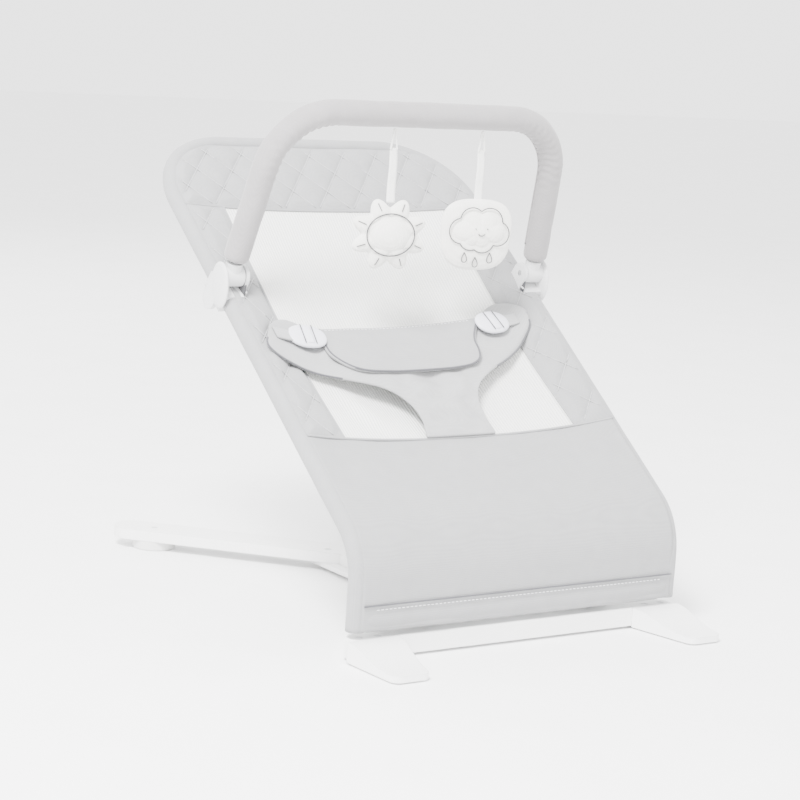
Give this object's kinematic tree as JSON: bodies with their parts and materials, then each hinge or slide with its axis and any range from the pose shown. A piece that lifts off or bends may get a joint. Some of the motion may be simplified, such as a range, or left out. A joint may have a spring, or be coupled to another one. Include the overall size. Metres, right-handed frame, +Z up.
{
  "type": "bouncer seat",
  "caption": "Low baby bouncer: fabric seat on a sloping tube frame over a Y-shaped base, with a crotch panel, side buckles and a padded toy bar with hanging plush toys.",
  "frame": {"origin": "on the floor, at the middle of the plan of the whole object", "axes": "+Z up, -Y towards the front where the feet go, +X across the seat"},
  "size_m": [0.43, 0.6176, 0.5393],
  "materials": {
    "base_plastic": "satin moulded",
    "grip_rubber": "matt",
    "screw_steel": "zinc plated",
    "hinge_steel": "zinc plated",
    "frame_tube": "powder coated",
    "quilted_fabric": "quilted cotton",
    "mesh_fabric": "ribbed spacer mesh",
    "plain_fabric": "woven cotton",
    "strap_webbing": "woven tape",
    "buckle_plastic": "satin moulded",
    "clip_plastic": "satin moulded",
    "bar_fabric": "padded woven sleeve",
    "toy_plush": "felted plush"
  },
  "bodies": {
    "base": {"front_crossbar": "base_plastic", "base_spine": "base_plastic", "hub_plate": "base_plastic", "front_foot_left": "base_plastic", "front_foot_right": "base_plastic", "rear_arm_left": "base_plastic", "rear_arm_right": "base_plastic", "front_grip_left": "grip_rubber", "front_grip_right": "grip_rubber", "rear_pad_left": "grip_rubber", "rear_pad_right": "grip_rubber", "foot_screws": "screw_steel", "hub_screws": "screw_steel", "pad_screws": "screw_steel", "hinge_bracket_left": "hinge_steel", "hinge_bracket_right": "hinge_steel", "pivot_pins": "hinge_steel", "detent_springs": "hinge_steel"},
    "recline_hub": {"torque_tube": "hinge_steel", "hub_sector_left": "hinge_steel", "hub_sector_right": "hinge_steel"},
    "seat": {"seat_yoke_left": "hinge_steel", "seat_yoke_right": "hinge_steel", "front_cross_tube": "frame_tube", "head_bow": "frame_tube", "tube_spigots": "frame_tube", "seat_rail_left": "frame_tube", "seat_rail_right": "frame_tube", "head_panel": "quilted_fabric", "side_panel_left": "quilted_fabric", "side_panel_right": "quilted_fabric", "mesh_insert": "mesh_fabric", "lower_panel": "plain_fabric", "hem_sleeve": "plain_fabric", "crotch_panel": "plain_fabric", "crotch_tail": "plain_fabric", "leg_wing_left": "plain_fabric", "leg_wing_right": "plain_fabric", "waist_strap_left": "strap_webbing", "waist_strap_right": "strap_webbing", "buckle_cover_left": "buckle_plastic", "buckle_cover_right": "buckle_plastic", "buckle_tongue_left": "buckle_plastic", "buckle_tongue_right": "buckle_plastic", "toy_clip_left": "clip_plastic", "toy_clip_right": "clip_plastic", "clip_pins": "hinge_steel"},
    "button_left": {"buckle_button_left": "buckle_plastic"},
    "button_right": {"buckle_button_right": "buckle_plastic"},
    "toy_bar": {"toy_bar_tube": "clip_plastic", "toy_bar_sleeve": "bar_fabric", "bar_hub_left": "clip_plastic", "bar_hub_right": "clip_plastic"},
    "sun": {"sun_loop": "strap_webbing", "sun_ribbon": "strap_webbing", "sun_toy": "toy_plush"},
    "cloud": {"cloud_loop": "strap_webbing", "cloud_ribbon": "strap_webbing", "cloud_toy": "toy_plush"}
  },
  "joints": [
    {"name": "recline", "type": "hinge", "parent": "base", "child": "recline_hub", "pos_m": [0, -0.177, 0.04], "axis": [-1, 0, 0], "range_deg": [0, 40]},
    {"name": "bounce", "type": "hinge", "parent": "recline_hub", "child": "seat", "pos_m": [0, -0.177, 0.04], "axis": [-1, 0, 0], "range_deg": [-3, 4], "stiffness_Nm_per_rad": 300, "springref_deg": -0.66},
    {"name": "toy_bar_swing", "type": "hinge", "parent": "seat", "child": "toy_bar", "pos_m": [0, 0.05609, 0.34598], "axis": [1, 0, 0], "range_deg": [-45, 40]},
    {"name": "sun_swing", "type": "hinge", "parent": "toy_bar", "child": "sun", "pos_m": [0, -0.0003, 0.50982], "axis": [1, 0, 0], "range_deg": [-60, 60]},
    {"name": "cloud_swing", "type": "hinge", "parent": "toy_bar", "child": "cloud", "pos_m": [0, -0.0003, 0.50982], "axis": [1, 0, 0], "range_deg": [-60, 60]},
    {"name": "buckle_left_press", "type": "slide", "parent": "seat", "child": "button_left", "axis": [0, 0.5976, -0.8018], "range_m": [0, 0.0018], "stiffness_N_per_m": 600},
    {"name": "buckle_right_press", "type": "slide", "parent": "seat", "child": "button_right", "axis": [0, 0.5976, -0.8018], "range_m": [0, 0.0018], "stiffness_N_per_m": 600}
  ]
}
